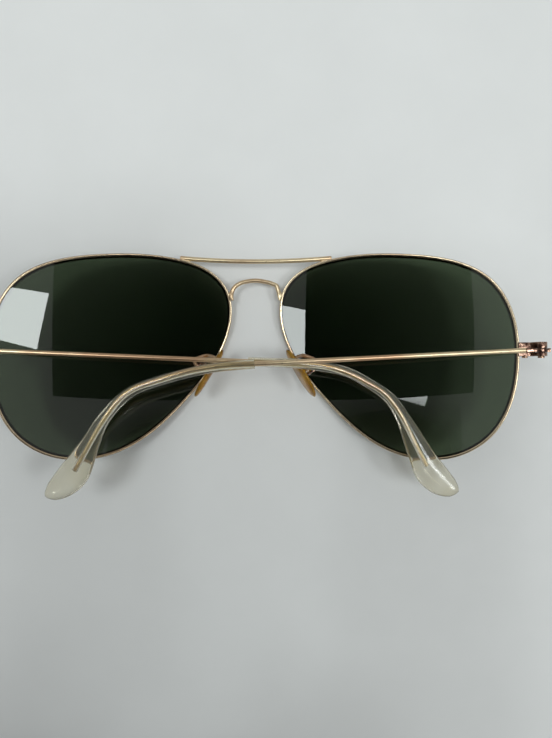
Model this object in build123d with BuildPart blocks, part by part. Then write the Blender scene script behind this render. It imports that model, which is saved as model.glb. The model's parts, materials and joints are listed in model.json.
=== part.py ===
from build123d import *

import os
from math import asin, cos, radians, sin

# Aviator sunglasses standing on the fronts of their lenses with both temples folded.
# X runs across the face, Y up the face towards the brow, Z back towards the wearer.
# The origin is on the surface under the middle of the folded glasses. Millimetres.

# Lens: a six-base curve, 58 mm wide, set 14 mm from its neighbour
FRONT_RADIUS = 88.0
LENS_THICKNESS = 2.0
CURVE_X = 14.3
LENS_X = 36.4
LENS_Y = 4.55
BEVEL_DEPTH = 0.4
BEVEL_THICKNESS = 0.6

# Teardrop outline of the right lens about its centre, anticlockwise from the temple side
OUTLINE = [
    (29.4, 1.1),
    (28.1, 9.7),
    (23.9, 17.35),
    (3.5, 25.15),
    (-16.1, 24.4),
    (-22.1, 22.3),
    (-27.4, 17.1),
    (-28.6, 10.2),
    (-26.5, 2.1),
    (-16.8, -11.7),
    (1.0, -24.6),
    (15.4, -24.65),
    (23.0, -19.8),
]
OUTLINE_STEPS = 18

# Rim wire
RIM_OUT = 0.6
RIM_IN = -0.35
RIM_DEPTH = 1.9
RIM_SPLIT = 0.12
GROOVE_PLAY = 0.04

# Brow bar and nose bridge, round wires soldered between the rims
BROW_RADIUS = 0.58
BROW_HALF = 19.8
BROW_END_Y = 25.4
BROW_MID_Y = 24.5
BROW_Z = 4.7
BRIDGE_RADIUS = 0.55
BRIDGE_HALF = 6.25
BRIDGE_FOOT_Y = 14.0
BRIDGE_BEND_Y = 16.6
BRIDGE_SHOULDER = (5.0, 18.6)
BRIDGE_Z = 3.5

# Hinge: its pin runs along Y through two end piece halves and the temple's knuckle
HINGE_X = 67.8
HINGE_Z = 19.2
KNUCKLE_RADIUS = 1.3
PIN_RADIUS = 0.45
PIN_PLAY = 0.05
SCREW_PLAY = 0.02
UPPER_TOP = 2.85
UPPER_BOTTOM = 1.45
KNUCKLE_TOP = 1.39
KNUCKLE_BOTTOM = 0.46
LOWER_TOP = 0.40
LOWER_BOTTOM = -0.45
HALVES_MEET = 0.91
WEB_TOP_Z = 17.7
WEB_END_X = 67.1
BLOCK_FRONT_Z = 15.6
BLOCK_INNER_X = 63.2
HEEL_REACH = 2.05
HEEL_HALF = 0.5
ARM_REACH = 3.6
ARM_HALF = 0.6
CLOSING_X = 65.1
CLOSING_Z = 16.6
CLOSING_RADIUS = 0.4
SLOT_WIDTH = 0.25
SLOT_DEPTH = 0.2

# Temple wire: routes in the temple's own plane, as distance in from the hinge and height
WIRE_RADIUS = 0.6
CORE_PLAY = 0.02
TEMPLES = {
    "right": {
        "tilt": 0.6,
        "route": [(ARM_REACH, 0.9), (80.0, -2.9), (98.0, -8.6), (103.5, -15.5), (110.1, -27.6)],
        "radii": [66.0, 13.5, 42.0],
        "tip": [
            (67.5, -2.33, 1.1),
            (79.0, -3.5, 1.15),
            (91.5, -6.7, 1.2),
            (98.0, -9.7, 1.3),
            (103.2, -15.2, 1.5),
            (106.1, -20.5, 2.1),
            (108.3, -24.8, 3.0),
            (110.3, -28.3, 3.6),
            (112.8, -31.1, 3.2),
            (115.6, -33.0, 1.9),
            (116.9, -33.8, 0.9),
        ],
    },
    "left": {
        "tilt": 3.0,
        "route": [(ARM_REACH, 0.9), (88.0, -2.6), (100.0, -9.2), (103.8, -14.2), (110.3, -27.3)],
        "radii": [30.0, 13.0, 28.0],
        "tip": [
            (66.5, -1.71, 1.1),
            (79.0, -2.25, 1.15),
            (89.5, -3.9, 1.2),
            (96.0, -7.0, 1.2),
            (101.1, -10.6, 1.4),
            (104.4, -15.4, 1.7),
            (106.8, -20.2, 2.5),
            (109.0, -24.8, 3.1),
            (110.9, -28.5, 3.7),
            (113.3, -31.4, 3.4),
            (116.1, -33.6, 2.1),
            (117.2, -34.1, 0.9),
        ],
    },
}
TIP_HALF_THICKNESS = 1.15
SECTION_SQUASH = 0.01

# Nose pads: oval plates with a barrel that rocks on a screw in a two-walled box
PAD_CENTRE = (11.6, -4.6, 8.6)
PAD_SPLAY = 31.0
PAD_LEAN = {"right": 10.0, "left": -5.0}
PAD_LENGTH = 14.0
PAD_WIDTH = 7.6
PAD_THICKNESS = 1.5
PAD_EDGE = 0.6
BARREL_RADIUS = 0.85
BARREL_LENGTH = 1.6
BARREL_SET = 1.25
PAD_PIN_RADIUS = 0.35
BOX_WALL = 0.45
BOX_PLAY = 0.06
BOX_HALF_WIDTH = 0.95
BOX_BASE = 1.1
PAD_ARM_RADIUS = 0.45
PAD_ARM_ROUTE = [
    (9.9, -0.9, 1.5),
    (11.6, -0.1, 4.8),
    (12.5, 0.0, 8.8),
    (15.8, -1.2, 9.0),
]
PAD_ARM_RADII = [5.0, 1.5, 0.9]

WRAP = asin((LENS_X - CURVE_X) / FRONT_RADIUS)
BACK_RADIUS = FRONT_RADIUS - LENS_THICKNESS
CURVE_CENTRE = (CURVE_X, LENS_Y, FRONT_RADIUS)
LENS_PLANE = Plane(
    origin=(LENS_X, LENS_Y, FRONT_RADIUS * (1 - cos(WRAP))),
    x_dir=(cos(WRAP), 0, sin(WRAP)),
    z_dir=(-sin(WRAP), 0, cos(WRAP)),
)
BLANK_START = -3.0
BLANK_DEPTH = 14.0
SIDES = {"right": 1, "left": -1}

teardrop = Edge.make_spline([Vector(*point) for point in OUTLINE], periodic=True)


def grown_outline(grow):
    """Points of the teardrop moved outwards square to its edge."""
    points = []
    for step in range(OUTLINE_STEPS):
        place = teardrop.position_at(step / OUTLINE_STEPS)
        along = teardrop.tangent_at(step / OUTLINE_STEPS)
        points.append(Vector(place.X + grow * along.Y, place.Y - grow * along.X))
    return points


def fill_outline(grow, mode=Mode.ADD):
    """Fill the teardrop, grown or shrunk, in the sketch that is open."""
    make_face(Edge.make_spline(grown_outline(grow), periodic=True), mode=mode)


def curve_ball(radius, mode):
    """A ball about the centre of the lens curve, its poles turned away from the lens."""
    with Locations(CURVE_CENTRE):
        Sphere(radius, rotation=(90, 0, 0), mode=mode)


def finish(part, node, side="right", made_on="right"):
    """Label a piece, mirror it if it was made for the other side, and write its file."""
    shape = part if side == made_on else part.mirror(Plane.YZ)
    shape.label = node
    export_step(shape, f"parts/{node}.step")


def pin_along_y(x, z, radius, low, high, mode=Mode.ADD):
    """A round pin or hole along Y between two heights above the lens centre line."""
    with Locations((x, LENS_Y + (low + high) / 2, z)):
        Cylinder(radius, high - low, rotation=(90, 0, 0), mode=mode)


def flat_at(height):
    """A plane square to the hinge pin; shapes drawn on it are extruded downwards."""
    return Plane.XZ.offset(-(LENS_Y + height))


os.makedirs("parts", exist_ok=True)

groove_middle = FRONT_RADIUS - LENS_THICKNESS / 2

# Rim without its groove, which is also cut from whatever is soldered to the rim
with BuildPart() as rim_ring:
    with BuildSketch(LENS_PLANE.offset(BLANK_START)):
        fill_outline(RIM_OUT)
        fill_outline(RIM_IN, mode=Mode.SUBTRACT)
    extrude(amount=BLANK_DEPTH)
    curve_ball(groove_middle + RIM_DEPTH / 2, Mode.INTERSECT)
    curve_ball(groove_middle - RIM_DEPTH / 2, Mode.SUBTRACT)

with BuildPart() as groove:
    with BuildSketch(LENS_PLANE.offset(BLANK_START)):
        fill_outline(GROOVE_PLAY)
    extrude(amount=BLANK_DEPTH)
    curve_ball(groove_middle + BEVEL_THICKNESS / 2 + GROOVE_PLAY, Mode.INTERSECT)
    curve_ball(groove_middle - BEVEL_THICKNESS / 2 - GROOVE_PLAY, Mode.SUBTRACT)

# Rim: the ring with its groove, split at the end piece
with BuildPart() as rim:
    add(rim_ring.part)
    add(groove.part, mode=Mode.SUBTRACT)
    with Locations((BLOCK_INNER_X, LENS_Y + HALVES_MEET, WEB_TOP_Z)):
        Box(8, RIM_SPLIT, 8, mode=Mode.SUBTRACT)

# Lens: a curved plate with a bevel ridge round its edge that sits in the rim's groove
with BuildPart() as lens:
    with BuildSketch(LENS_PLANE.offset(BLANK_START)):
        fill_outline(0)
    extrude(amount=BLANK_DEPTH)
    curve_ball(groove_middle + BEVEL_THICKNESS / 2, Mode.INTERSECT)
    curve_ball(groove_middle - BEVEL_THICKNESS / 2, Mode.SUBTRACT)
    with BuildSketch(LENS_PLANE.offset(BLANK_START)):
        fill_outline(-BEVEL_DEPTH)
    extrude(amount=BLANK_DEPTH)
    curve_ball(FRONT_RADIUS, Mode.INTERSECT)
    curve_ball(BACK_RADIUS, Mode.SUBTRACT)

for side in SIDES:
    finish(lens.part, f"lens_{side}", side)
    finish(rim.part, f"rim_{side}", side)

left_rim_ring = rim_ring.part.mirror(Plane.YZ)

# Brow bar: a gently sagging wire laid along the tops of both rims
with BuildPart() as brow_bar:
    with BuildLine() as brow_route:
        ThreePointArc(
            (-BROW_HALF, LENS_Y + BROW_END_Y, BROW_Z),
            (0, LENS_Y + BROW_MID_Y, BROW_Z),
            (BROW_HALF, LENS_Y + BROW_END_Y, BROW_Z),
        )
    with BuildSketch(Plane(origin=brow_route.line @ 0, z_dir=brow_route.line % 0)):
        Circle(BROW_RADIUS)
    sweep()
    add([rim_ring.part, left_rim_ring], mode=Mode.SUBTRACT)
finish(brow_bar.part, "brow_bar")

# Nose bridge: an arched wire whose feet run down the nasal edges of the rims
with BuildPart() as nose_bridge:
    with BuildLine(Plane.XY.offset(BRIDGE_Z)) as bridge_route:
        foot = Line(
            (-BRIDGE_HALF, LENS_Y + BRIDGE_FOOT_Y),
            (-BRIDGE_HALF, LENS_Y + BRIDGE_BEND_Y),
        )
        bend = TangentArc(
            foot @ 1,
            (-BRIDGE_SHOULDER[0], LENS_Y + BRIDGE_SHOULDER[1]),
            tangent=foot % 1,
        )
        crown = TangentArc(
            bend @ 1,
            (BRIDGE_SHOULDER[0], LENS_Y + BRIDGE_SHOULDER[1]),
            tangent=bend % 1,
        )
        far_bend = TangentArc(
            crown @ 1,
            (BRIDGE_HALF, LENS_Y + BRIDGE_BEND_Y),
            tangent=crown % 1,
        )
        Line(far_bend @ 1, (BRIDGE_HALF, LENS_Y + BRIDGE_FOOT_Y))
    with BuildSketch(Plane(origin=bridge_route.line @ 0, z_dir=bridge_route.line % 0)):
        Circle(BRIDGE_RADIUS)
    sweep()
    add([rim_ring.part, left_rim_ring], mode=Mode.SUBTRACT)
finish(nose_bridge.part, "nose_bridge")


def sketch_block():
    """Side profile of an end piece half: a bent lug from the rim out to the hinge eye."""
    Polygon(
        (BLOCK_INNER_X, BLOCK_FRONT_Z),
        (HINGE_X - 1.6, BLOCK_FRONT_Z),
        (HINGE_X + 0.7, BLOCK_FRONT_Z + 1.0),
        (HINGE_X + KNUCKLE_RADIUS, HINGE_Z),
        (HINGE_X - KNUCKLE_RADIUS, HINGE_Z),
        (HINGE_X - 1.9, WEB_TOP_Z),
        (BLOCK_INNER_X, WEB_TOP_Z),
        align=None,
    )
    with Locations((HINGE_X, HINGE_Z)):
        Circle(KNUCKLE_RADIUS)


def sketch_web():
    """Side profile of the solid part in front of the hinge, which also stops the heel."""
    Polygon(
        (BLOCK_INNER_X, BLOCK_FRONT_Z),
        (HINGE_X - 1.6, BLOCK_FRONT_Z),
        (WEB_END_X, BLOCK_FRONT_Z + 0.4),
        (WEB_END_X, WEB_TOP_Z),
        (BLOCK_INNER_X, WEB_TOP_Z),
        align=None,
    )


# End piece halves: one on each end of the split rim, drawn together by the closing screw
with BuildPart() as end_piece_upper:
    with BuildSketch(flat_at(UPPER_TOP)):
        sketch_block()
    extrude(amount=UPPER_TOP - UPPER_BOTTOM)
    with BuildSketch(flat_at(UPPER_BOTTOM)):
        sketch_web()
    extrude(amount=UPPER_BOTTOM - HALVES_MEET)
    pin_along_y(HINGE_X, HINGE_Z, PIN_RADIUS + PIN_PLAY, UPPER_BOTTOM, UPPER_TOP, Mode.SUBTRACT)
    pin_along_y(
        CLOSING_X, CLOSING_Z, CLOSING_RADIUS + SCREW_PLAY, 0, UPPER_TOP - 0.5, Mode.SUBTRACT
    )
    add(rim_ring.part, mode=Mode.SUBTRACT)

with BuildPart() as end_piece_lower:
    with BuildSketch(flat_at(LOWER_TOP)):
        sketch_block()
    extrude(amount=LOWER_TOP - LOWER_BOTTOM)
    with BuildSketch(flat_at(HALVES_MEET - SCREW_PLAY)):
        sketch_web()
    extrude(amount=HALVES_MEET - SCREW_PLAY - LOWER_TOP)
    pin_along_y(
        HINGE_X, HINGE_Z, PIN_RADIUS + SCREW_PLAY, LOWER_BOTTOM, LOWER_TOP, Mode.SUBTRACT
    )
    pin_along_y(
        CLOSING_X, CLOSING_Z, CLOSING_RADIUS + SCREW_PLAY, LOWER_BOTTOM, HALVES_MEET, Mode.SUBTRACT
    )
    add(rim_ring.part, mode=Mode.SUBTRACT)

# Hinge screw: its slotted head is underneath
with BuildPart() as hinge_screw:
    pin_along_y(HINGE_X, HINGE_Z, PIN_RADIUS, LOWER_BOTTOM - SCREW_PLAY, UPPER_TOP + SCREW_PLAY)
    pin_along_y(HINGE_X, HINGE_Z, 0.75, LOWER_BOTTOM - 0.45, LOWER_BOTTOM - SCREW_PLAY)
    with Locations((HINGE_X, LENS_Y + LOWER_BOTTOM - 0.45, HINGE_Z)):
        Box(4, 2 * SLOT_DEPTH, SLOT_WIDTH, mode=Mode.SUBTRACT)

# Closing screw: its slotted head is underneath too
with BuildPart() as closing_screw:
    pin_along_y(CLOSING_X, CLOSING_Z, CLOSING_RADIUS, LOWER_BOTTOM - SCREW_PLAY, UPPER_TOP - 0.6)
    pin_along_y(CLOSING_X, CLOSING_Z, 0.65, LOWER_BOTTOM - 0.4, LOWER_BOTTOM - SCREW_PLAY)
    with Locations((CLOSING_X, LENS_Y + LOWER_BOTTOM - 0.4, CLOSING_Z)):
        Box(4, 2 * SLOT_DEPTH, SLOT_WIDTH, mode=Mode.SUBTRACT)

for side in SIDES:
    finish(end_piece_upper.part, f"end_piece_upper_{side}", side)
    finish(end_piece_lower.part, f"end_piece_lower_{side}", side)
    finish(hinge_screw.part, f"hinge_screw_{side}", side)
    finish(closing_screw.part, f"closing_screw_{side}", side)


def temple_plane(side):
    """Plane of a folded temple: x in from the hinge, y up the face."""
    sign = SIDES[side]
    tilt = radians(TEMPLES[side]["tilt"])
    return Plane(
        origin=(sign * HINGE_X, LENS_Y, HINGE_Z),
        x_dir=(-sign * cos(tilt), 0, -sin(tilt)),
        z_dir=(sin(tilt), 0, -sign * cos(tilt)),
    )


def along_station(stations, number):
    """Direction of the line through the stations on each side of one of a tip's stations."""
    before = Vector(*stations[max(number - 1, 0)][:2])
    after = Vector(*stations[min(number + 1, len(stations) - 1)][:2])
    return (after - before).normalized()


for side in SIDES:
    temple = TEMPLES[side]
    plane = temple_plane(side)
    edge_plane = Plane(
        origin=plane.from_local_coords((0, KNUCKLE_TOP, 0)),
        x_dir=plane.x_dir,
        z_dir=-plane.y_dir,
    )

    # Knuckle, the arm that the wire is brazed to, and the heel that stops the opening
    with BuildPart() as temple_hinge:
        with BuildSketch(edge_plane):
            Circle(KNUCKLE_RADIUS)
            with Locations((ARM_REACH / 2, 0)):
                Rectangle(ARM_REACH, 2 * ARM_HALF)
            with Locations((-HEEL_REACH / 2, 0)):
                Rectangle(HEEL_REACH, 2 * HEEL_HALF)
            Circle(PIN_RADIUS + PIN_PLAY, mode=Mode.SUBTRACT)
        extrude(amount=KNUCKLE_TOP - KNUCKLE_BOTTOM)
    finish(temple_hinge.part, f"temple_hinge_{side}")

    # Temple wire, straight and then curved down behind the ear
    with BuildPart() as temple_wire:
        with BuildLine(plane) as wire_route:
            FilletPolyline(*temple["route"], radius=temple["radii"])
        with BuildSketch(Plane(origin=wire_route.line @ 0, z_dir=wire_route.line % 0)):
            Circle(WIRE_RADIUS)
        sweep()
    finish(temple_wire.part, f"temple_wire_{side}")

    with BuildPart() as wire_space:
        with BuildLine(plane) as space_route:
            FilletPolyline(*temple["route"], radius=temple["radii"])
        with BuildSketch(Plane(origin=space_route.line @ 0, z_dir=space_route.line % 0)):
            Circle(WIRE_RADIUS + CORE_PLAY)
        sweep()

    # Ear tip: a sleeve over the wire that swells into a rounded paddle
    with BuildPart() as temple_tip:
        for number, (inward, height, half_width) in enumerate(temple["tip"]):
            along = along_station(temple["tip"], number)
            section = Plane(
                origin=plane.from_local_coords((inward, height, 0)),
                x_dir=plane.from_local_coords(Vector(-along.Y, along.X)) - plane.origin,
                z_dir=plane.from_local_coords(along) - plane.origin,
            )
            with BuildSketch(section):
                Ellipse(half_width, min(half_width, TIP_HALF_THICKNESS) - SECTION_SQUASH)
        loft(ruled=True)
        add(wire_space.part, mode=Mode.SUBTRACT)
    finish(temple_tip.part, f"temple_tip_{side}")


def pad_plane(lean):
    """Plane of the right pad's back: x down along the pad, z towards the nose and leaning back."""
    splay = radians(PAD_SPLAY)
    middle = Plane(
        origin=(PAD_CENTRE[0], LENS_Y + PAD_CENTRE[1], PAD_CENTRE[2]),
        x_dir=(sin(splay), -cos(splay), 0),
        z_dir=(-cos(splay), -sin(splay), 0),
    )
    at_pin = middle.offset(-PAD_THICKNESS / 2 - BARREL_SET)
    to_nose = middle.z_dir.rotate(Axis((0, 0, 0), middle.x_dir), -lean)
    return Plane(origin=at_pin.origin, x_dir=middle.x_dir, z_dir=to_nose).offset(BARREL_SET)


level = pad_plane(0)
pin_axis = Plane(origin=level.offset(-BARREL_SET).origin, z_dir=level.x_dir)
base_plane = level.offset(-BARREL_SET - BOX_BASE - BOX_WALL)
wall_inside = BARREL_LENGTH / 2 + BOX_PLAY
wall_outside = wall_inside + BOX_WALL

for side, lean in PAD_LEAN.items():
    back = pad_plane(lean)

    # Pad: an oval plate with a rounded edge, and the barrel behind it
    with BuildPart() as nose_pad:
        with BuildSketch(back):
            Ellipse(PAD_LENGTH / 2, PAD_WIDTH / 2)
        extrude(amount=PAD_THICKNESS)
        fillet(nose_pad.edges(), PAD_EDGE)
        with BuildSketch(back.offset(-BARREL_SET)):
            Rectangle(BARREL_LENGTH, 2 * BARREL_RADIUS)
        extrude(amount=BARREL_SET + PAD_THICKNESS / 2)
        with Locations(pin_axis.offset(-BARREL_LENGTH / 2)):
            Cylinder(
                BARREL_RADIUS, BARREL_LENGTH, align=(Align.CENTER, Align.CENTER, Align.MIN)
            )
            Cylinder(
                PAD_PIN_RADIUS + PIN_PLAY,
                BARREL_LENGTH,
                align=(Align.CENTER, Align.CENTER, Align.MIN),
                mode=Mode.SUBTRACT,
            )
    finish(nose_pad.part, f"nose_pad_{side}", side)

    # Box: a base and two walls that hold the pad's screw
    with BuildPart() as pad_box:
        with BuildSketch(base_plane):
            Rectangle(2 * wall_outside, 2 * BOX_HALF_WIDTH)
        extrude(amount=BOX_WALL + BOX_BASE + 0.75)
        with BuildSketch(level.offset(-BARREL_SET - BOX_BASE)):
            Rectangle(2 * wall_inside, 4 * BOX_HALF_WIDTH)
        extrude(amount=4, mode=Mode.SUBTRACT)
        with Locations(pin_axis):
            Cylinder(PAD_PIN_RADIUS + SCREW_PLAY, 4 * wall_outside, mode=Mode.SUBTRACT)
    finish(pad_box.part, f"pad_box_{side}", side)

    with BuildPart() as pad_screw:
        with Locations(pin_axis):
            Cylinder(PAD_PIN_RADIUS, 2 * wall_outside + 0.2)
        with Locations(pin_axis.offset(-wall_outside - 0.1)):
            Cylinder(0.6, 0.3, align=(Align.CENTER, Align.CENTER, Align.MAX))
    finish(pad_screw.part, f"pad_screw_{side}", side)

    # Arm: a bent wire from the rim out round the box and in to its base
    with BuildPart() as pad_arm:
        with BuildLine() as arm_route:
            FilletPolyline(
                *[(x, LENS_Y + y, z) for x, y, z in PAD_ARM_ROUTE],
                base_plane.origin,
                radius=PAD_ARM_RADII,
            )
        with BuildSketch(Plane(origin=arm_route.line @ 0, z_dir=arm_route.line % 0)):
            Circle(PAD_ARM_RADIUS)
        sweep()
        add([rim_ring.part, pad_box.part], mode=Mode.SUBTRACT)
    finish(pad_arm.part, f"pad_arm_{side}", side)
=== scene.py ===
import json
from math import asin, cos, pi, radians, sin, tan

import bmesh
import bpy
import numpy as np
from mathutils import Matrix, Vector


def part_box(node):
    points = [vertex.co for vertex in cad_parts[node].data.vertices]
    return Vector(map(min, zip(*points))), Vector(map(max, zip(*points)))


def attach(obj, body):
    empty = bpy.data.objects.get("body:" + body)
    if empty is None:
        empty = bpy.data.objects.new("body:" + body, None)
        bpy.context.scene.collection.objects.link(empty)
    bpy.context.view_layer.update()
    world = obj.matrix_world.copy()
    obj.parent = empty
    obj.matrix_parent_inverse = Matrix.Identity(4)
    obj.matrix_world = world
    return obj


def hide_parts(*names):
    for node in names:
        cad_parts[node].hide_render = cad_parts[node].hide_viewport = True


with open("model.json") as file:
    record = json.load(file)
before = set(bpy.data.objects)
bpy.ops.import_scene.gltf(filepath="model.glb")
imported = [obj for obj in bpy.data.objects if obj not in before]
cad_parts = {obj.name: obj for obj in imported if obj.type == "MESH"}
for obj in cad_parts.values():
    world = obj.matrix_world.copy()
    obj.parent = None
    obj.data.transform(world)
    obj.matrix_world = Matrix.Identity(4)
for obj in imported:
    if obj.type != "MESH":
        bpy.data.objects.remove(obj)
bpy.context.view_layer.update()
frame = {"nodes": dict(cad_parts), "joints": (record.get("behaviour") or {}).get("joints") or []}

# Everything below is worked out in millimetres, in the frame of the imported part.
MM = 0.001
SIDES = {"right": 1, "left": -1}


def joint(name):
    """Where a joint is, in millimetres, and the direction of its axis."""
    found = next(j for j in frame["joints"] if j["name"] == name)
    return np.array(found["pos_m"]) / MM, np.array(found["axis"], float)


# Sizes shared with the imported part, apart from the last rows of each ear tip, which are
# drawn a little rounder and shorter here
HINGE, _ = joint("right_temple_fold")
PAD_PIN, PAD_ALONG = joint("right_pad_rock")
HINGE_OVER_LENS = 0.93
FRONT_RADIUS = 88.0
BACK_RADIUS = 86.0
CURVE_X = 14.3
LENS_X = 36.4
LENS_Y = HINGE[1] - HINGE_OVER_LENS
OUTLINE = [
    (29.4, 1.1), (28.1, 9.7), (23.9, 17.35), (3.5, 25.15), (-16.1, 24.4), (-22.1, 22.3),
    (-27.4, 17.1), (-28.6, 10.2), (-26.5, 2.1), (-16.8, -11.7), (1.0, -24.6), (15.4, -24.65),
    (23.0, -19.8),
]
RIM_OUT = 0.6
RIM_IN = -0.35
SPLIT_HEIGHT = 0.91
SPLIT_GAP = 0.12
PAD_LEAN = {"right": 10.0, "left": -5.0}
WIRE_RADIUS = 0.6
TEMPLES = {
    "right": {
        "tilt": 0.6,
        "route": [(3.6, 0.9), (80.0, -2.9), (98.0, -8.6), (103.5, -15.5), (110.1, -27.6)],
        "radii": [66.0, 13.5, 42.0],
        "tip": [
            (67.5, -2.33, 1.1), (79.0, -3.5, 1.15), (91.5, -6.7, 1.2), (98.0, -9.7, 1.3),
            (103.2, -15.2, 1.5), (106.1, -20.5, 2.1), (108.3, -24.8, 3.0),
            (110.3, -28.2, 3.6), (112.8, -30.8, 3.25), (115.3, -32.6, 2.3), (116.6, -33.3, 1.4),
            (117.2, -33.6, 0.5),
        ],
    },
    "left": {
        "tilt": 3.0,
        "route": [(3.6, 0.9), (88.0, -2.6), (100.0, -9.2), (103.8, -14.2), (110.3, -27.3)],
        "radii": [30.0, 13.0, 28.0],
        "tip": [
            (66.5, -1.71, 1.1), (79.0, -2.25, 1.15), (89.5, -3.9, 1.2), (96.0, -7.0, 1.2),
            (101.1, -10.6, 1.4), (104.4, -15.4, 1.7), (106.8, -20.2, 2.5),
            (109.0, -24.8, 3.1), (110.9, -28.3, 3.7), (113.5, -31.0, 3.45), (116.2, -32.7, 2.5),
            (117.6, -33.3, 1.6), (118.3, -33.6, 0.6),
        ],
    },
}

# Sizes of the visible model alone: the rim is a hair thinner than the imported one, and the
# bore round each temple wire is wider, so that its edge can be seen through the plastic
RIM_HALF_DEPTH = 0.93
TIP_BORE_RADIUS = 0.72
RIM_ROUNDNESS = 0.72
LENS_IN_RIM = 0.12
LENS_BACK = BACK_RADIUS + 0.02
WIRE_END_LENGTH = 0.25
WIRE_END_SIZE = 0.6

WRAP = asin((LENS_X - CURVE_X) / FRONT_RADIUS)
LENS_CENTRE = np.array([LENS_X, LENS_Y, FRONT_RADIUS * (1 - cos(WRAP))])
LENS_U = np.array([cos(WRAP), 0, sin(WRAP)])
LENS_V = np.array([0, 1.0, 0])
LENS_W = np.array([-sin(WRAP), 0, cos(WRAP)])
FACE_SIDE = {"right": np.array([1.0, 1, 1]), "left": np.array([-1.0, 1, 1])}


# ---------------------------------------------------------------- curves

def unit(vector):
    """The same directions, each of length one."""
    return vector / np.linalg.norm(vector, axis=-1, keepdims=True)


def smooth_loop(points, count):
    """Evenly spaced points on the smooth closed curve through a few points."""
    p = np.array(points, float)
    h = np.linalg.norm(np.roll(p, -1, 0) - p, axis=1)
    n = len(p)
    system = np.zeros((n, n))
    right = np.zeros_like(p)
    for i in range(n):
        before, after = (i - 1) % n, (i + 1) % n
        system[i, before] = 1 / h[before]
        system[i, i] = 2 / h[before] + 2 / h[i]
        system[i, after] = 1 / h[i]
        right[i] = 3 * ((p[i] - p[before]) / h[before] ** 2 + (p[after] - p[i]) / h[i] ** 2)
    slope = np.linalg.solve(system, right)
    dense = []
    for i in range(n):
        t = np.linspace(0, 1, 60, endpoint=False)[:, None]
        q, m0, m1 = p[(i + 1) % n], slope[i] * h[i], slope[(i + 1) % n] * h[i]
        dense.append(
            (2 * t**3 - 3 * t**2 + 1) * p[i] + (t**3 - 2 * t**2 + t) * m0
            + (3 * t**2 - 2 * t**3) * q + (t**3 - t**2) * m1
        )
    dense = np.vstack(dense + [p[:1]])
    return even(dense, count + 1)[:-1]


def even(points, count):
    """The same polyline with evenly spaced points."""
    points = np.asarray(points, float)
    length = np.r_[0, np.cumsum(np.linalg.norm(np.diff(points, axis=0), axis=1))]
    places = np.linspace(0, length[-1], count)
    return np.stack([np.interp(places, length, column) for column in points.T], 1)


def smooth_line(rows, count):
    """Rows of numbers blended smoothly into count rows (Catmull-Rom)."""
    rows = np.asarray(rows, float)
    ends = np.vstack([2 * rows[0] - rows[1], rows, 2 * rows[-1] - rows[-2]])
    dense = []
    for i in range(1, len(ends) - 2):
        t = np.linspace(0, 1, 24, endpoint=False)[:, None]
        a, b, c, d = ends[i - 1 : i + 3]
        dense.append(
            0.5 * (2 * b + (c - a) * t + (2 * a - 5 * b + 4 * c - d) * t**2
                   + (3 * b - a - 3 * c + d) * t**3)
        )
    return even(np.vstack(dense + [rows[-1:]]), count)


def rounded_route(points, radii, count):
    """Straight runs joined by tangent arcs, one radius for each inner corner."""
    p = [np.array(point, float) for point in points]
    route = [p[0]]
    for corner, radius, before, after in zip(p[1:-1], radii, p[:-2], p[2:]):
        a, b = unit(corner - before), unit(after - corner)
        turn = np.arccos(np.clip(a @ b, -1, 1))
        start = corner - a * radius * tan(turn / 2)
        inward = unit(b - a * (a @ b))
        for angle in np.linspace(0, turn, 24):
            route.append(start + radius * (sin(angle) * a + (1 - cos(angle)) * inward))
    route.append(p[-1])
    return even(np.array(route), count)


# ---------------------------------------------------------------- meshes

def make_mesh(name, vertices, faces, side="right"):
    """A smooth-shaded object from points in millimetres, mirrored for the left side."""
    vertices = np.asarray(vertices, float) * FACE_SIDE[side] * MM
    if side == "left":
        faces = [tuple(reversed(face)) for face in faces]
    mesh = bpy.data.meshes.new(name)
    mesh.from_pydata([tuple(v) for v in vertices], [], faces)
    mesh.validate()
    build = bmesh.new()
    build.from_mesh(mesh)
    bmesh.ops.recalc_face_normals(build, faces=build.faces)
    for face in build.faces:
        face.smooth = True
    build.to_mesh(mesh)
    build.free()
    piece = bpy.data.objects.new(name, mesh)
    bpy.context.scene.collection.objects.link(piece)
    mesh.set_sharp_from_angle(angle=radians(40))
    return piece


def skin(rings, closed=False):
    """Vertices and faces of a surface through rings of equal size, capped if it's open."""
    count, size = len(rings), len(rings[0])
    faces = []
    for i in range(count if closed else count - 1):
        j = (i + 1) % count
        for k in range(size):
            m = (k + 1) % size
            faces.append((i * size + k, i * size + m, j * size + m, j * size + k))
    if not closed:
        faces.append(tuple(range(size - 1, -1, -1)))
        faces.append(tuple((count - 1) * size + k for k in range(size)))
    return np.vstack(rings), faces


def tube_rings(route, radii, up, sides=24, squash=1.0):
    """Round sections along a route; up fixes their turn, squash flattens them along it."""
    route = np.asarray(route, float)
    radii = np.broadcast_to(radii, len(route))
    along = unit(np.gradient(route, axis=0))
    across = unit(np.cross(along, up))
    over = np.cross(across, along)
    turn = np.linspace(0, 2 * pi, sides, endpoint=False)[:, None]
    squash = np.broadcast_to(squash, len(route))
    return [
        p + r * (np.cos(turn) * a + s * np.sin(turn) * o)
        for p, r, a, o, s in zip(route, radii, across, over, squash)
    ]


def add_ends(route, step=0.05, count=5):
    """A route with extra points close to its two ends, where the wire is rounded over."""
    start = [route[0] + unit(route[1] - route[0]) * step * i for i in range(count)]
    end = [route[-1] + unit(route[-2] - route[-1]) * step * i for i in range(count)][::-1]
    return np.vstack([start, route[1:-1], end])


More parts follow.
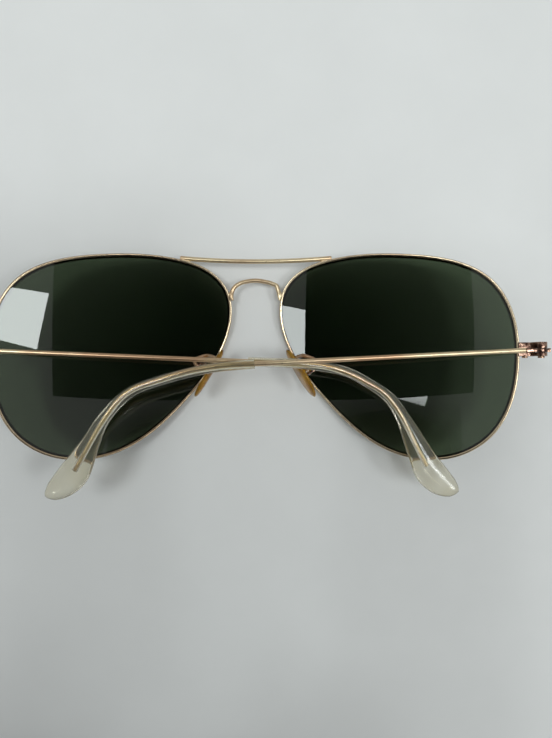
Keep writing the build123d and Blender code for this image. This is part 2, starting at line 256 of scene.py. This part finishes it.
def wire(name, route, radius, up, side="right", sides=24, squash=1.0):
    """A solid wire along a route, its ends rounded over."""
    route = add_ends(np.asarray(route, float))
    length = np.r_[0, np.cumsum(np.linalg.norm(np.diff(route, axis=0), axis=1))]
    near = np.minimum(length, length[-1] - length) / WIRE_END_LENGTH
    ends = WIRE_END_SIZE + (1 - WIRE_END_SIZE) * np.sqrt(1 - (1 - np.clip(near, 0, 1)) ** 2)
    rings = tube_rings(route, np.broadcast_to(radius, len(route)) * ends, up, sides, squash)
    return make_mesh(name, *skin(rings), side=side)


def rounded_copy(node, width):
    """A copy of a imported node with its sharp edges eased, to be shown in its place."""
    source = frame["nodes"][node].data
    build = bmesh.new()
    build.from_mesh(source)
    bmesh.ops.remove_doubles(build, verts=build.verts, dist=0.002 * MM)
    flat = [e for e in build.edges if e.is_manifold and e.calc_face_angle(0) < radians(1)]
    bmesh.ops.dissolve_edges(build, edges=flat, use_verts=False)
    sharp = [e for e in build.edges if e.is_manifold and e.calc_face_angle(0) > radians(35)]
    bmesh.ops.bevel(
        build, geom=sharp, offset=width * MM, segments=3, profile=0.5,
        affect="EDGES", clamp_overlap=True, offset_type="WIDTH",
    )
    for face in build.faces:
        face.smooth = True
    mesh = bpy.data.meshes.new(node + "_eased")
    build.to_mesh(mesh)
    build.free()
    mesh.set_sharp_from_angle(angle=radians(38))
    piece = bpy.data.objects.new(node + "_eased", mesh)
    bpy.context.scene.collection.objects.link(piece)
    return piece


def place(piece, body, slot, material, *nodes):
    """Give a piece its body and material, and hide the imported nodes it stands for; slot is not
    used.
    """
    piece.data.materials.clear()
    piece.data.materials.append(material)
    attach(piece, body)
    if nodes:
        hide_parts(*nodes)


# ---------------------------------------------------------------- materials

class Look:
    """A material being put together from nodes around one principled shader."""

    def __init__(self, name):
        self.material = bpy.data.materials.new(name)
        self.material.use_nodes = True
        self.tree = self.material.node_tree
        self.shader = self.tree.nodes["Principled BSDF"]
        self.place = self.tree.nodes.new("ShaderNodeTexCoord").outputs["Object"]

    def set(self, **values):
        """Fixed values on the shader's own sockets; _ stands for a space."""
        for name, value in values.items():
            self.shader.inputs[name.replace("_", " ")].default_value = value

    def noise(self, scale, detail=4.0, stretch=None, roughness=0.55):
        """Solid noise; stretch multiplies its scale along each axis."""
        source = self.place
        if stretch is not None:
            mapping = self.tree.nodes.new("ShaderNodeMapping")
            mapping.inputs["Scale"].default_value = stretch
            self.tree.links.new(source, mapping.inputs["Vector"])
            source = mapping.outputs["Vector"]
        node = self.tree.nodes.new("ShaderNodeTexNoise")
        node.inputs["Scale"].default_value = scale
        node.inputs["Detail"].default_value = detail
        node.inputs["Roughness"].default_value = roughness
        self.tree.links.new(source, node.inputs["Vector"])
        return node.outputs["Fac"]

    def ramp(self, value, *stops):
        """A value turned into a colour by (position, colour) stops."""
        node = self.tree.nodes.new("ShaderNodeValToRGB")
        while len(node.color_ramp.elements) < len(stops):
            node.color_ramp.elements.new(0.5)
        for element, (position, colour) in zip(node.color_ramp.elements, stops):
            element.position = position
            element.color = (*colour, 1)
        self.tree.links.new(value, node.inputs["Fac"])
        return node.outputs["Color"]

    def span(self, value, low, high, to_low, to_high):
        """A value moved from one range to another, held at its ends."""
        node = self.tree.nodes.new("ShaderNodeMapRange")
        for name, number in zip(("From Min", "From Max", "To Min", "To Max"),
                                (low, high, to_low, to_high)):
            node.inputs[name].default_value = number
        self.tree.links.new(value, node.inputs["Value"])
        return node.outputs["Result"]

    def mix(self, factor, first, second):
        """One colour passing into another as the factor goes from 0 to 1."""
        node = self.tree.nodes.new("ShaderNodeMix")
        node.data_type = "RGBA"
        self.tree.links.new(factor, node.inputs["Factor"])
        first_colour, second_colour, colour_out = node.inputs[6], node.inputs[7], node.outputs[2]
        for socket, colour in ((first_colour, first), (second_colour, second)):
            if isinstance(colour, tuple):
                socket.default_value = (*colour, 1)
            else:
                self.tree.links.new(colour, socket)
        return colour_out

    def link(self, value, socket):
        """Feed a value into one of the shader's sockets."""
        self.tree.links.new(value, self.shader.inputs[socket])

    def bump(self, height, distance, strength=1.0):
        """Fine relief in the surface, distance metres deep."""
        node = self.tree.nodes.new("ShaderNodeBump")
        node.inputs["Distance"].default_value = distance
        node.inputs["Strength"].default_value = strength
        self.tree.links.new(height, node.inputs["Height"])
        self.tree.links.new(node.outputs["Normal"], self.shader.inputs["Normal"])


def gold_look(name, bright, copper, worn, wear, roughness):
    """Gold plate that turns slowly to copper along a wire, finely worn all over."""
    look = Look(name)
    look.set(Metallic=1.0, IOR=1.5)
    plate = look.ramp(look.noise(42, 3), (0.40, copper), (0.58, bright))
    rubbed = look.span(look.noise(700, 4), 0.45, 0.75, 0.0, wear)
    look.link(look.mix(rubbed, plate, worn), "Base Color")
    dull = look.span(look.noise(1500, 4), 0.3, 0.75, roughness * 0.85, roughness * 1.3)
    look.link(dull, "Roughness")
    look.bump(look.noise(5200, 3, roughness=0.7), 0.000003, 0.25)
    return look.material


def hinge_look():
    """Reddish brown, tarnished metal with a cast surface that breaks its shine into dots."""
    look = Look("hinge_gold")
    look.set(Metallic=1.0, IOR=1.5)
    grime = look.noise(900, 4)
    tarnish = look.ramp(grime, (0.40, (0.045, 0.022, 0.017)), (0.62, (0.36, 0.23, 0.17)))
    look.link(tarnish, "Base Color")
    look.link(look.span(grime, 0.35, 0.65, 0.34, 0.16), "Roughness")
    look.bump(look.noise(1100, 2), 0.00012, 0.8)
    return look.material


def lens_look():
    """Grey-green tinted glass with a faint haze of wiping marks."""
    look = Look("tinted_glass")
    look.set(Transmission_Weight=1.0, IOR=1.52, Specular_IOR_Level=0.5)
    tint = look.ramp(look.noise(25, 2), (0.3, (0.066, 0.090, 0.054)), (0.7, (0.076, 0.105, 0.063)))
    look.link(tint, "Base Color")
    haze = look.noise(90, 6, stretch=(1.0, 3.0, 1.0), roughness=0.7)
    look.link(look.span(haze, 0.5, 0.85, 0.0, 0.05), "Roughness")
    return look.material


def tip_look():
    """Clear plastic gone slightly milky and yellow, its surface rubbed by wear."""
    look = Look("aged_clear_plastic")
    look.set(Transmission_Weight=0.94, IOR=1.47)
    tint = look.ramp(look.noise(140, 3), (0.3, (0.84, 0.79, 0.62)), (0.7, (0.93, 0.90, 0.78)))
    look.link(tint, "Base Color")
    look.link(look.span(look.noise(900, 4), 0.3, 0.8, 0.05, 0.2), "Roughness")
    look.bump(look.noise(2600, 3), 0.000004, 0.4)
    return look.material


def pad_look():
    """Soft clear pad gone amber, deeper in colour in patches."""
    look = Look("amber_pad")
    look.set(Transmission_Weight=0.8, IOR=1.44)
    tint = look.ramp(look.noise(230, 2), (0.3, (0.60, 0.29, 0.012)), (0.7, (0.86, 0.55, 0.09)))
    look.link(tint, "Base Color")
    look.link(look.span(look.noise(1300, 4), 0.3, 0.8, 0.12, 0.3), "Roughness")
    look.bump(look.noise(1500, 2), 0.000006, 0.4)
    return look.material


def screw_look():
    """Turned screw metal, dark in its grain."""
    look = Look("screw_metal")
    look.set(Metallic=1.0)
    look.link(look.ramp(look.noise(1700, 4), (0.3, (0.16, 0.09, 0.06)), (0.7, (0.46, 0.32, 0.21))),
              "Base Color")
    look.link(look.span(look.noise(2500, 3), 0.3, 0.8, 0.2, 0.45), "Roughness")
    look.bump(look.noise(6000, 2), 0.00001, 0.5)
    return look.material


def hood_look():
    """Dark brown in the middle, fading away at its edge."""
    look = Look("dark_hood")
    look.set(Roughness=0.7, Specular_IOR_Level=0.2)
    look.link(look.ramp(look.noise(20, 2), (0.3, (0.05, 0.038, 0.02)), (0.7, (0.07, 0.052, 0.03))),
              "Base Color")
    mapping = look.tree.nodes.new("ShaderNodeMapping")
    mapping.inputs["Location"].default_value = (0.33, -1.25, -2.7)
    mapping.inputs["Scale"].default_value = (7.2, 9.0, 9.0)
    look.tree.links.new(look.place, mapping.inputs["Vector"])
    ball = look.tree.nodes.new("ShaderNodeTexGradient")
    ball.gradient_type = "SPHERICAL"
    look.tree.links.new(mapping.outputs["Vector"], ball.inputs["Vector"])
    look.link(look.span(ball.outputs["Fac"], 0.0, 0.45, 0.0, 1.0), "Alpha")
    return look.material


def flag_look():
    """Nearly black all over."""
    look = Look("dark_flag")
    look.set(Roughness=0.6, Specular_IOR_Level=0.2)
    shade = look.ramp(look.noise(30, 2), (0.3, (0.006, 0.007, 0.006)), (0.7, (0.009, 0.01, 0.009)))
    look.link(shade, "Base Color")
    return look.material


def floor_look():
    """A plain pale surface with the faintest grain."""
    look = Look("pale_surface")
    look.link(look.ramp(look.noise(35, 6), (0.3, (0.70, 0.71, 0.70)), (0.7, (0.73, 0.74, 0.73))),
              "Base Color")
    look.link(look.span(look.noise(220, 4), 0.3, 0.7, 0.55, 0.7), "Roughness")
    look.bump(look.noise(900, 5), 0.00003, 0.15)
    return look.material


WIRE_GOLD = gold_look("wire_gold", (0.76, 0.63, 0.41), (0.56, 0.36, 0.22),
                      (0.40, 0.26, 0.16), 0.3, 0.32)
RIM_GOLD = gold_look("rim_gold", (0.72, 0.60, 0.42), (0.48, 0.36, 0.24),
                     (0.32, 0.22, 0.15), 0.35, 0.2)
HINGE_GOLD = hinge_look()
GLASS = lens_look()
TIP_PLASTIC = tip_look()
PAD_PLASTIC = pad_look()
SCREW_METAL = screw_look()


# ---------------------------------------------------------------- the front

def on_lens(outline, radius):
    """Points of the right lens at a ball radius, from flat outline points."""
    u, v = outline[:, 0], outline[:, 1]
    w = FRONT_RADIUS - np.sqrt(radius**2 - u**2 - v**2)
    return LENS_CENTRE + u[:, None] * LENS_U + v[:, None] * LENS_V + w[:, None] * LENS_W


def square_out(loop):
    """Unit vectors square to a closed anticlockwise outline, pointing out of it."""
    along = unit(np.roll(loop, -1, 0) - np.roll(loop, 1, 0))
    return np.stack([along[:, 1], -along[:, 0]], 1)


loop = smooth_loop(OUTLINE, 720)
outward = square_out(loop)


def build_rim(side):
    """A rounded channel wire round the lens, split where the end piece closes it."""
    nose_side = loop[:, 0] < 0
    gap = np.argmin(np.abs(loop[:, 1] - SPLIT_HEIGHT) + 100 * nose_side)
    spacing = np.linalg.norm(loop[1] - loop[0])
    cut = max(1, round(SPLIT_GAP / spacing / 2))
    order = [(gap + cut + i) % len(loop) for i in range(len(loop) - 2 * cut + 1)]
    path, out = loop[order], outward[order]
    middle, half_width = (RIM_OUT + RIM_IN) / 2, (RIM_OUT - RIM_IN) / 2
    middle_radius = (FRONT_RADIUS + BACK_RADIUS) / 2
    rings = []
    for turn in np.linspace(0, 2 * pi, 28, endpoint=False):
        c, s = cos(turn), sin(turn)
        offset = middle + half_width * np.sign(c) * abs(c) ** RIM_ROUNDNESS
        radius = middle_radius - RIM_HALF_DEPTH * np.sign(s) * abs(s) ** RIM_ROUNDNESS
        rings.append(on_lens(path + offset * out, radius))
    sections = [np.array([ring[i] for ring in rings]) for i in range(len(order))]
    piece = make_mesh(f"rim_wire_{side}", *skin(sections), side=side)
    place(piece, "front", "gold_wire", RIM_GOLD, f"rim_{side}")


def build_lens(side):
    """A curved plate of even thickness whose edge sits inside the rim."""
    edge = (loop + outward * (RIM_IN + LENS_IN_RIM))[::3]
    steps = np.sin(np.linspace(0, 1, 27)[1:] * pi / 2)
    rings = [on_lens(edge * s, LENS_BACK) for s in steps]
    rings += [on_lens(edge * s, FRONT_RADIUS) for s in steps[::-1]]
    centre = np.zeros((1, 2))
    points = np.vstack(rings + [on_lens(centre, LENS_BACK), on_lens(centre, FRONT_RADIUS)])
    size = len(edge)
    _, faces = skin(rings)
    faces = faces[:-2]
    back, front = len(points) - 2, len(points) - 1
    last = (len(rings) - 1) * size
    for k in range(size):
        m = (k + 1) % size
        faces.append((back, m, k))
        faces.append((front, last + k, last + m))
    piece = make_mesh(f"lens_glass_{side}", points, faces, side=side)
    place(piece, "front", "lens_glass", GLASS, f"lens_{side}")


def build_brow_bar():
    """A straight wire with a slight sag, its blunt ends lapped on the tops of the rims."""
    low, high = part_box("brow_bar")
    half = high.x / MM - 0.05
    z = (low.z + high.z) / 2 / MM
    radius = (high.z - low.z) / 2 / MM
    top = high.y / MM - radius
    sag = 0.9
    x = np.linspace(-half, half, 80)
    y = top - 0.02 - sag * (1 - (x / half) ** 2)
    route = np.stack([x + 0.15, y + 0.12, np.full_like(x, z)], 1)
    place(wire("brow_wire", route, radius, (0, 0, 1)), "front", "gold_wire", WIRE_GOLD, "brow_bar")


def build_bridge():
    """An arched wire; its feet are filed to a taper where they lie along the rims."""
    low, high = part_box("nose_bridge")
    radius = (high.z - low.z) / 2 / MM
    half = high.x / MM - radius
    foot, top = low.y / MM, high.y / MM - radius
    z = (low.z + high.z) / 2 / MM
    left_half = [
        (-half + 0.3, foot + 0.5), (-half - 0.1, foot + 1.8), (-half + 0.1, foot + 2.9),
        (-half + 0.6, foot + 3.9), (-half + 1.5, top - 1.1), (-half + 3.0, top - 0.4),
        (0.0, top + 0.05),
    ]
    right_half = [
        (half - 3.0, top - 0.4), (half - 1.7, top - 0.85), (half - 0.75, top - 1.3),
        (half - 0.35, foot + 3.5), (half - 0.05, foot + 2.3), (half + 0.05, foot + 0.6),
    ]
    line = smooth_line(left_half + right_half, 150)
    length = np.abs(np.linspace(-1, 1, len(line)))
    foot_size, foot_share = 0.5, 0.14
    taper = foot_size + (1 - foot_size) * np.clip((1 - length) / foot_share, 0, 1)
    rise, rise_start = 0.25, 0.75
    lift = rise * np.clip((length - rise_start) / (1 - rise_start), 0, 1)
    route = np.stack([line[:, 0], line[:, 1], z + lift], 1)
    taper = np.r_[[taper[0]] * 4, taper, [taper[-1]] * 4]
    place(wire("bridge_wire", route, radius * taper, (0, 0, 1)), "front", "gold_wire",
          WIRE_GOLD, "nose_bridge")


def solder(name, centre, along, length, radius, side):
    """A smooth spindle of solder lying in the corner between two wires."""
    along = unit(np.array(along, float))
    places = np.linspace(-0.5, 0.5, 22)
    route = np.array(centre) + along * places[:, None] * length
    swell = radius * (np.sqrt(np.clip(1 - (2 * places) ** 2, 0, 1)) * 0.95 + 0.05)
    piece = make_mesh(name, *skin(tube_rings(route, swell, (0.1, 0.2, 1), 18)), side=side)
    place(piece, "front", "gold_wire", WIRE_GOLD)


def build_solder(side):
    """Solder at the brow bar's end and at the bridge's foot."""
    x, y, z = np.array(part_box("brow_bar")[1]) / MM
    solder(f"brow_solder_{side}", (x - 1.6, y - 1.15, z - 0.4), (1, 0.25, 0.05), 2.6, 0.34, side)
    x, y, z = np.array(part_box("nose_bridge")[1]) / MM
    solder(f"bridge_solder_{side}", (x - 0.2, y - 4.7, z - 0.4), (0.1, 1, 0.1), 2.4, 0.36, side)


def build_hinge_front(side):
    """The two halves of the end piece, their edges eased, and the two screws in them."""
    for node, width in (("end_piece_upper", 0.16), ("end_piece_lower", 0.14)):
        piece = rounded_copy(f"{node}_{side}", width)
        place(piece, "front", "hinge_metal", HINGE_GOLD, f"{node}_{side}")
    for node in ("hinge_screw", "closing_screw"):
        piece = rounded_copy(f"{node}_{side}", 0.06)
        place(piece, "front", "screw_metal", SCREW_METAL, f"{node}_{side}")


# ---------------------------------------------------------------- the nose pads

def pad_frame(side):
    """Origin and axes of a pad as it's rocked: along it, towards the nose, and back."""
    lean = radians(PAD_LEAN[side])
    along = unit(PAD_ALONG)
    level = np.array([along[1], -along[0], 0.0])
    back = np.array([0, 0, 1.0])
    nose = level * cos(lean) + back * sin(lean)
    return PAD_PIN, along, nose, np.cross(nose, along)


def build_pad(side):
    """A soft oval pad, fuller at its lower end, and the barrel behind it."""
    pin, along, nose, wide = pad_frame(side)
    set_back, thick, half_length, half_width, fuller = 1.25, 1.5, 7.0, 3.75, 0.12
    turn = np.linspace(0, 2 * pi, 72, endpoint=False)
    across = half_width * np.sin(turn) * (1 + fuller * np.cos(turn))
    shape = np.stack([half_length * np.cos(turn), across], 1)
    steps = np.sin(np.linspace(0.06, 1, 14) * pi / 2)
    rings, points = [], []
    for s in steps:
        rings.append((s, thick * (0.5 + 0.5 * np.sqrt(1 - s**6)) - 0.12 * s**2))
    for s in steps[::-1]:
        rings.append((s * 0.985, thick * (0.5 - 0.5 * np.sqrt(1 - s**6)) - 0.06 * s**2))
    for s, height in rings:
        flat = shape * s
        points.append(pin + flat[:, :1] * along + flat[:, 1:] * wide + nose * (set_back + height))
    body = f"{side}_nose_pad"
    pad = make_mesh(f"pad_cushion_{side}", *skin(points), side=side)
    place(pad, body, "pad_plastic", PAD_PLASTIC, f"nose_pad_{side}")
    neck = build_barrel(side, pin, along, nose, wide)
    place(neck, body, "pad_plastic", PAD_PLASTIC)


def build_barrel(side, pin, along, nose, wide):
    """The bored barrel that turns on the pad screw, with the neck that runs into the pad."""
    half, radius, bore, reach = 0.8, 0.85, 0.4, 1.45
    turn = np.linspace(0, 2 * pi, 48, endpoint=False)
    to_nose, to_side = np.cos(turn), np.sin(turn)
    to_neck = np.minimum(reach / np.maximum(to_nose, 1e-6), radius / np.maximum(abs(to_side), 1e-6))
    size = np.where(to_nose > 0, to_neck, radius)

    def ring(place_along, size):
        return pin + along * place_along + (
            (size * to_nose)[:, None] * nose + (size * to_side)[:, None] * wide
        )

    rings = [ring(-half, size * 0.9), ring(-half + 0.12, size), ring(half - 0.12, size),
             ring(half, size * 0.9), ring(half, bore), ring(-half, bore)]
    return make_mesh(f"pad_barrel_{side}", *skin(rings, closed=True), side=side)


def build_pad_arm(side):
    """A goose-neck wire from the back of the rim out to the pad's box."""
    level = np.array([PAD_ALONG[1], -PAD_ALONG[0], 0.0])
    base = PAD_PIN - unit(level) * 1.6
    corners = [(9.9, -0.9, 1.5), (11.6, -0.1, 4.8), (12.5, 0.0, 8.8), (15.8, -1.2, 9.0)]
    points = [(x, LENS_Y + y, z) for x, y, z in corners] + [tuple(base)]
    route = rounded_route(points, [5.0, 1.5, 0.9], 70)
    piece = wire(f"pad_arm_wire_{side}", route, 0.45, (0.2, 1, -0.3), side=side, sides=20)
    place(piece, "front", "gold_wire", WIRE_GOLD, f"pad_arm_{side}")
    box = rounded_copy(f"pad_box_{side}", 0.08)
    place(box, "front", "hinge_metal", HINGE_GOLD, f"pad_box_{side}")
    screw = rounded_copy(f"pad_screw_{side}", 0.06)
    place(screw, "front", "screw_metal", SCREW_METAL, f"pad_screw_{side}")


# ---------------------------------------------------------------- the temples

def in_temple(side, rows, over=0.0):
    """Points in millimetres from a temple's own plane: in from the hinge, up, and off it."""
    sign, tilt = SIDES[side], radians(TEMPLES[side]["tilt"])
    inward = np.array([-sign * cos(tilt), 0, -sin(tilt)])
    off = np.array([-sign * sin(tilt), 0, cos(tilt)])
    start = np.array([sign * HINGE[0], LENS_Y, HINGE[2]])
    rows = np.asarray(rows, float)
    return start + rows[:, :1] * inward + rows[:, 1:2] * (0, 1.0, 0) + over * off, off


def build_temple(side):
    temple, body = TEMPLES[side], f"{side}_temple"
    piece = rounded_copy(f"temple_hinge_{side}", 0.12)
    place(piece, body, "hinge_metal", HINGE_GOLD, f"temple_hinge_{side}")

    flat = rounded_route([(*p, 0) for p in temple["route"]], temple["radii"], 260)
    route, off = in_temple(side, flat)
    core = wire(f"temple_core_{side}", route, WIRE_RADIUS, off, sides=28)
    place(core, body, "gold_wire", WIRE_GOLD, f"temple_wire_{side}")

    count, thickness, thinner = 90, 1.15, 0.15
    stations = smooth_line(temple["tip"], count)
    centres, off = in_temple(side, stations)
    half_width = stations[:, 2].copy()
    thick = np.minimum(half_width, thickness - thinner * np.linspace(0, 1, count) ** 3)
    outer = tube_rings(centres, half_width, off, 40, thick / half_width)
    for back, size in ((4, 0.97), (3, 0.9), (2, 0.77), (1, 0.45)):
        outer[-back] = centres[-back] + (outer[-back] - centres[-back]) * size
    inside = [p for p in flat if p[0] > temple["tip"][0][0] + 0.15]
    bore, _ = in_temple(side, np.array(inside))
    bore[0] = centres[0]
    hollow = tube_rings(bore, TIP_BORE_RADIUS, off, 40)
    rings = hollow[::-1] + outer
    piece = make_mesh(f"ear_tip_{side}", *skin(rings))
    place(piece, body, "tip_plastic", TIP_PLASTIC, f"temple_tip_{side}")


build_brow_bar()
build_bridge()
for side in SIDES:
    build_rim(side)
    build_lens(side)
    build_solder(side)
    build_hinge_front(side)
    build_pad(side)
    build_pad_arm(side)
    build_temple(side)


# ---------------------------------------------------------------- floor, light and camera

def staged_plane(name, corners, material):
    """A flat sheet that is part of the picture and not of the object."""
    mesh = bpy.data.meshes.new(name)
    mesh.from_pydata([tuple(np.array(c) * MM) for c in corners], [], [tuple(range(len(corners)))])
    plane = bpy.data.objects.new(name, mesh)
    bpy.context.scene.collection.objects.link(plane)
    mesh.materials.append(material)
    return plane


def dark_card(name, corners, material):
    """A staged sheet that the camera doesn't see, but that is mirrored and throws shade."""
    card = staged_plane(name, corners, material)
    card.visible_camera = False
    return card


def ceiling_panel(name, centre, size, power, turn=0.0):
    """A square soft light facing straight down."""
    light = bpy.data.lights.new(name, "AREA")
    light.shape = "RECTANGLE"
    light.size, light.size_y = size[0] * MM, size[1] * MM
    light.energy = power
    light.color = (0.94, 0.99, 1.0)
    lamp = bpy.data.objects.new(name, light)
    lamp.location = Vector(centre) * MM
    lamp.rotation_euler = (0, 0, radians(turn))
    bpy.context.scene.collection.objects.link(lamp)


FLOOR_REACH = 1500
staged_plane("floor", [(-FLOOR_REACH, -FLOOR_REACH, 0), (FLOOR_REACH, -FLOOR_REACH, 0),
                       (FLOOR_REACH, FLOOR_REACH, 0), (-FLOOR_REACH, FLOOR_REACH, 0)], floor_look())

# The dark back of the camera, seen only in the gloss of the lenses and the wire
DARK = flag_look()
dark_card("camera_card", [(-47, -118, 151), (25, -118, 151), (25, 25.5, 151),
                          (-47, 25.5, 151)], DARK)

# The person at the near side, who keeps some of the room's light off the floor
dark_card("person_card", [(-420, -620, 200), (80, -620, 200), (55, -96, 152),
                          (-120, -96, 152), (-420, -80, 200)], DARK)

# The dark shape over the far edge of the camera, seen low down in the lenses; no shade
hood = dark_card("hood_card", [(-135, 45, 300), (35, 45, 300), (60, 230, 300),
                               (-160, 230, 300)], hood_look())
hood.visible_diffuse = False
hood.visible_shadow = False

ceiling_panel("panel_right", (1528, -344, 2200), (600, 590), 13.5, -12)
ceiling_panel("panel_near", (455, -145, 2200), (620, 560), 11.5, -12)
ceiling_panel("panel_far", (-792, 195, 2200), (600, 600), 13, -19)

world = bpy.data.worlds.new("room")
bpy.context.scene.world = world
world.use_nodes = True
world.node_tree.nodes["Background"].inputs["Color"].default_value = (0.97, 0.985, 0.975, 1)
world.node_tree.nodes["Background"].inputs["Strength"].default_value = 0.47

# A wide camera straight above the folded glasses
CAMERA_PLACE = (5.4, LENS_Y - 3.5, 149.3)
SENSOR_WIDTH, FOCAL_LENGTH = 36.0, 26.9756
camera_data = bpy.data.cameras.new("camera")
camera_data.sensor_width = SENSOR_WIDTH
camera_data.lens = FOCAL_LENGTH
camera_data.clip_start = 0.01
camera = bpy.data.objects.new("camera", camera_data)
camera.location = Vector(CAMERA_PLACE) * MM
bpy.context.scene.collection.objects.link(camera)
bpy.context.scene.camera = camera
bpy.context.scene.view_settings.view_transform = "Standard"
